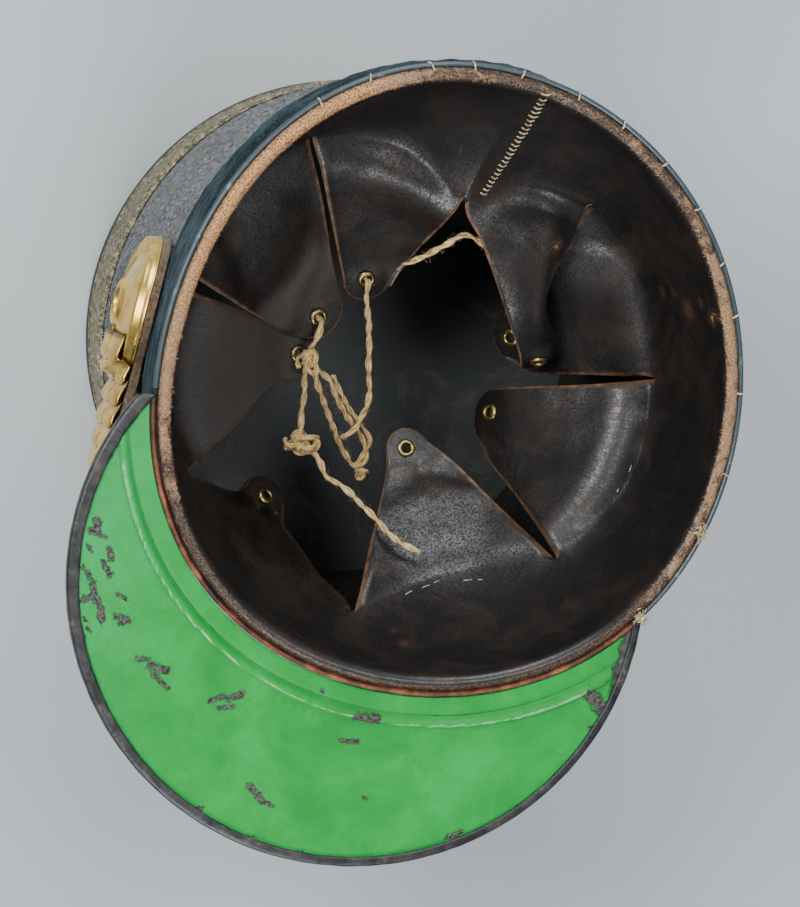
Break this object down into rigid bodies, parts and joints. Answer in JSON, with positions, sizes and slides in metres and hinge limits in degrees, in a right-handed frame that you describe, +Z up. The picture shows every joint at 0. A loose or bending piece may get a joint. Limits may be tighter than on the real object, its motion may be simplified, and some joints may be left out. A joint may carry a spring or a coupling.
{
  "type": "shako hat",
  "caption": "Felt military hat lying crown down, with a leather peak, a tongued leather sweatband laced by a string, and gilt chin scales.",
  "frame": {"origin": "centre of the flat crown, on which the hat rests", "axes": "+Z up out of the head hollow, -Y towards the peak, -X the wearer's left"},
  "size_m": [0.2044, 0.2579, 0.1698],
  "materials": {
    "felt": "fuzzy charcoal felt",
    "crown_leather": "waxed black",
    "gold_lace": "faded metal-thread lace",
    "velvet": "worn dark velvet",
    "piping": "glossy black",
    "edge_leather": "red-brown, rubbed",
    "sweatband_leather": "grained, worn through to brown",
    "eyelet_brass": "tarnished",
    "visor_leather": "green paint, chipped",
    "binding_leather": "glossy black",
    "strap_suede": "brown suede",
    "gilt": "bright gilding",
    "hemp": "loosely twisted hemp"
  },
  "bodies": {
    "root": {"crown_shell": "felt", "crown_top": "crown_leather", "top_lace": "gold_lace", "lower_band": "velvet", "rim_piping": "piping", "body_edge": "edge_leather", "sweatband": "sweatband_leather", "eyelet_1": "eyelet_brass", "eyelet_2": "eyelet_brass", "eyelet_3": "eyelet_brass", "eyelet_4": "eyelet_brass", "eyelet_5": "eyelet_brass", "eyelet_6": "eyelet_brass", "eyelet_7": "eyelet_brass", "eyelet_8": "eyelet_brass", "visor": "visor_leather", "visor_binding": "binding_leather", "strap_left": "strap_suede", "strap_right": "strap_suede", "scales_left": "gilt", "scales_right": "gilt", "rosette_left": "gilt", "rosette_right": "gilt", "strap_clasp": "gilt", "string_run": "hemp", "string_tie": "hemp", "string_bow": "hemp", "string_strand": "hemp", "string_tail": "hemp", "knot_tie": "hemp", "knot_tail": "hemp", "knot_end": "hemp"}
  },
  "joints": []
}
